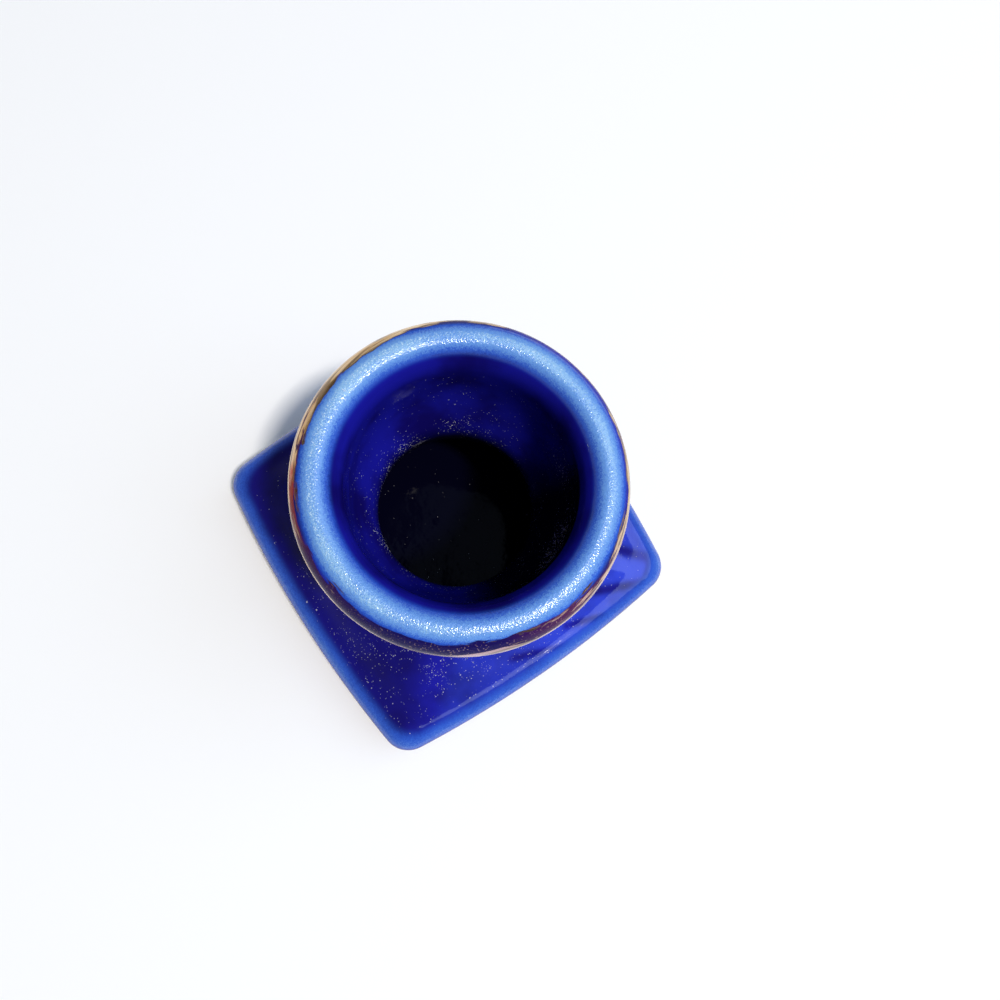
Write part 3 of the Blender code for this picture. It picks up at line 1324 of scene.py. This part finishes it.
@dataclass
class BudVase:
    """The vase: its surface, what the surface carries, and its finishes."""

    shell: Shell = field(default_factory=Shell)
    hand: HandWork = field(default_factory=HandWork)
    flow: GlazeFlow = field(default_factory=GlazeFlow)
    inside_shade: InsidePaintedShade = field(default_factory=InsidePaintedShade)
    corner_sheen: PaintedCornerSheen = field(default_factory=PaintedCornerSheen)
    brush: GiltBrush = field(default_factory=GiltBrush)
    dust_fall: DustFall = field(default_factory=DustFall)
    gilt_margin: float = 0.0012
    gilt_low: float = -0.0018
    gilt_gloss: float = 0.04
    inside_top: float = 0.0695
    inside_gloss: float = 0.015

    def build(self) -> bpy.types.Object:
        """Makes the vase's mesh, dresses it, and sets it in its node's place.

        Returns:
            The finished piece.
        """
        profile = self.shell.profile()
        surface = Surface(self.shell, profile, self.hand.lower(self.shell.grid(profile), self.shell))
        mesh = self.mesh(surface.grid)
        self.carry(mesh, surface)
        self.dress(mesh, surface)
        vase = bpy.data.objects.new("bud_vase", mesh)
        bpy.context.scene.collection.objects.link(vase)
        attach(vase, "root")
        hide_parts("vase")
        return vase

    def mesh(self, grid: np.ndarray) -> bpy.types.Mesh:
        """A closed mesh of the rings, with a fan over the first and the last one.

        Formula: vertex ring times sides plus side, then the foot's and the floor's middle.
        A face joins a side to the next one round, on its ring and on the next ring.

        Args:
            grid: Points as rings by sides by three.

        Returns:
            The mesh, shaded smooth.
        """
        rings, sides = grid.shape[:2]
        foot, floor = rings * sides, rings * sides + 1
        points = np.vstack([grid.reshape(-1, 3), (0, 0, grid[0, 0, 2]), (0, 0, grid[-1, 0, 2])])
        side = np.arange(sides)
        following = (side + 1) % sides
        low = np.arange(rings - 1)[:, None] * sides
        high = low + sides
        quads = np.stack([low + side, low + following, high + following, high + side], axis=2)
        last = (rings - 1) * sides
        under = np.stack([np.full(sides, foot), following, side], axis=1)
        bottom = np.stack([np.full(sides, floor), last + side, last + following], axis=1)
        mesh = bpy.data.meshes.new("bud_vase")
        faces = quads.reshape(-1, 4).tolist() + under.tolist() + bottom.tolist()
        mesh.from_pydata(points.tolist(), [], faces)
        mesh.shade_smooth()
        return mesh

    def carry(self, mesh: bpy.types.Mesh, surface: Surface) -> None:
        """Puts the traits on the mesh's vertices.

        Args:
            mesh: The vase's mesh.
            surface: The points that it was made from.
        """
        traits = {
            Trait.THINNESS: self.flow.thinness(surface),
            Trait.CORNER_SHEEN: self.corner_sheen.amount(surface),
            Trait.GILT_ACROSS: np.repeat(surface.above_edge[:, None], self.shell.sides, axis=1),
            Trait.INSIDE_SHADE: self.inside_shade.depth(surface),
            Trait.DUST: self.dust_fall.amount(surface),
        }
        for trait in self.brush.columns:
            traits[trait] = self.brush.spread(surface.heading, trait)
        for trait, values in traits.items():
            layer = mesh.attributes.new(trait.value, "FLOAT", "POINT")
            ends = (values[0].mean(), values[-1].mean())
            layer.data.foreach_set("value", np.append(values.ravel(), ends).astype(np.float32))

    def dress(self, mesh: bpy.types.Mesh, surface: Surface) -> None:
        """Gives every face its region's finish.

        Args:
            mesh: The vase's mesh.
            surface: The points that it was made from.
        """
        dust, glaze = DustEffect().group(), GlazeEffect().group()
        finishes = {
            Region.GLAZE: GlazeFinish(glaze, dust),
            Region.GILT_EDGE: GiltFinish(GlazeFinish(glaze, dust, gloss=self.gilt_gloss)),
            Region.FOOT: BareClayFinish(dust),
            Region.INSIDE: GlazeFinish(glaze, dust, "cobalt_glaze_inside", self.inside_gloss),
        }
        for finish in finishes.values():
            mesh.materials.append(finish.material())
        sides = self.shell.sides
        across = ((surface.above_edge[1:] + surface.above_edge[:-1]) / 2)[:, None]
        height = (surface.profile[1:, 1] + surface.profile[:-1, 1]) / 2
        past_crest = np.arange(len(height)) >= surface.crest
        reach = self.brush.spread(self.shell.angles(), Trait.GILT_WIDTH) + self.gilt_margin
        region = np.full((len(height), sides), Region.GLAZE.value)
        region[past_crest & (height < self.inside_top)] = Region.INSIDE.value
        region[(across < reach) & (across > self.gilt_low)] = Region.GILT_EDGE.value
        fans = np.repeat([Region.FOOT.value, Region.INSIDE.value], sides)
        regions = np.concatenate([region.ravel(), fans])
        mesh.polygons.foreach_set("material_index", regions.astype(np.int32))


# Studio


@dataclass(frozen=True)
class Viewpoint:
    """The photograph's camera: close above the mouth, tipped a little off the axis."""

    place: Place = (0.01887, -0.02070, 0.19825)
    turn_deg: Place = (10.344, -6.003, 56.384)
    lens_mm: float = 25.68
    sensor_mm: float = 36.0

    def build(self) -> None:
        """Adds the camera and makes it the scene's own."""
        data = bpy.data.cameras.new("camera")
        data.lens = self.lens_mm
        data.sensor_width = self.sensor_mm
        data.clip_start = 0.005
        camera = bpy.data.objects.new("camera", data)
        camera.location = self.place
        camera.rotation_euler = tuple(math.radians(turn) for turn in self.turn_deg)
        bpy.context.scene.collection.objects.link(camera)
        bpy.context.scene.camera = camera


@dataclass(frozen=True)
class Softbox:
    """A square area light that faces the vase."""

    name: str
    heading_deg: float
    height_deg: float
    distance: float
    size: float
    power: float
    colour: tuple[float, float, float] = (1.0, 1.0, 1.0)
    aim_height: float = 0.04

    def build(self) -> None:
        """Adds the light, turned towards the vase."""
        heading = math.radians(self.heading_deg)
        rise = math.radians(self.height_deg)
        data = bpy.data.lights.new(self.name, "AREA")
        data.size = self.size
        data.energy = self.power
        data.color = self.colour
        light = bpy.data.objects.new(self.name, data)
        across = self.distance * math.cos(rise)
        light.location = (
            across * math.cos(heading),
            across * math.sin(heading),
            self.aim_height + self.distance * math.sin(rise),
        )
        light.rotation_euler = (math.pi / 2 - rise, 0.0, heading + math.pi / 2)
        bpy.context.scene.collection.objects.link(light)


@dataclass(frozen=True)
class Studio:
    """A pale floor, a soft room and two softboxes."""

    floor_size: float = 3.2
    floor_drop: float = 0.0002
    floor_colour: Colour = (0.93, 0.93, 0.93, 1.0)
    floor_roughness: float = 0.9
    wall_top: Span = (0.05, 0.75)
    wall_light: float = 0.26
    ceiling_light: float = 0.06
    backdrop: float = 0.92
    boxes: tuple[Softbox, ...] = (
        Softbox(
            "key", heading_deg=18.0, height_deg=70.0, distance=2.0, size=0.16, power=32.0,
            colour=(1.0, 0.95, 0.87),
        ),
        Softbox(
            "panel", heading_deg=62.0, height_deg=62.0, distance=2.0, size=2.00, power=24.0,
            colour=(0.60, 0.75, 1.0),
        ),
    )

    def build(self) -> None:
        """Adds the floor, the room's light and the softboxes."""
        self.floor()
        self.room()
        for box in self.boxes:
            box.build()

    def floor(self) -> None:
        """A wide matt floor, just under the vase."""
        reach = self.floor_size / 2
        signs = ((-1, -1), (1, -1), (1, 1), (-1, 1))
        corners = [(x * reach, y * reach, -self.floor_drop) for x, y in signs]
        mesh = bpy.data.meshes.new("floor")
        mesh.from_pydata(corners, [], [(0, 1, 2, 3)])
        material, sheet, shader = blank_material("pale_floor")
        sheet.feed(shader, {"Base Color": self.floor_colour, "Roughness": self.floor_roughness})
        mesh.materials.append(material)
        floor = bpy.data.objects.new("floor", mesh)
        bpy.context.scene.collection.objects.link(floor)

    def room(self) -> None:
        """Soft light from the walls all round, with a dark ceiling and a pale backdrop."""
        world = bpy.data.worlds.new("room")
        world.use_nodes = True
        sheet = NodeSheet(world.node_tree)
        way = sheet.add("ShaderNodeTexCoord").outputs["Generated"]
        rise = sheet.add("ShaderNodeSeparateXYZ", {"Vector": way}).outputs["Z"]
        strength = sheet.step(rise, self.wall_top, (self.wall_light, self.ceiling_light))
        seen = sheet.add("ShaderNodeLightPath").outputs["Is Camera Ray"]
        strength = sheet.reckon("MAXIMUM", strength, sheet.reckon("MULTIPLY", seen, self.backdrop))
        white = (1.0, 1.0, 1.0, 1.0)
        sheet.feed(world.node_tree.nodes["Background"], {"Color": white, "Strength": strength})
        bpy.context.scene.world = world


def main() -> None:
    """Loads the frame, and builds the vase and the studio."""
    logging.basicConfig(level=logging.INFO, format="%(name)s: %(message)s")
    bpy.context.scene.view_settings.view_transform = "Standard"
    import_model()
    vase = BudVase().build()
    log.info("built %s with %d faces", vase.name, len(vase.data.polygons))
    Studio().build()
    log.info("built the studio")
    Viewpoint().build()
    log.info("set the camera")


if __name__ == "__main__":
    main()
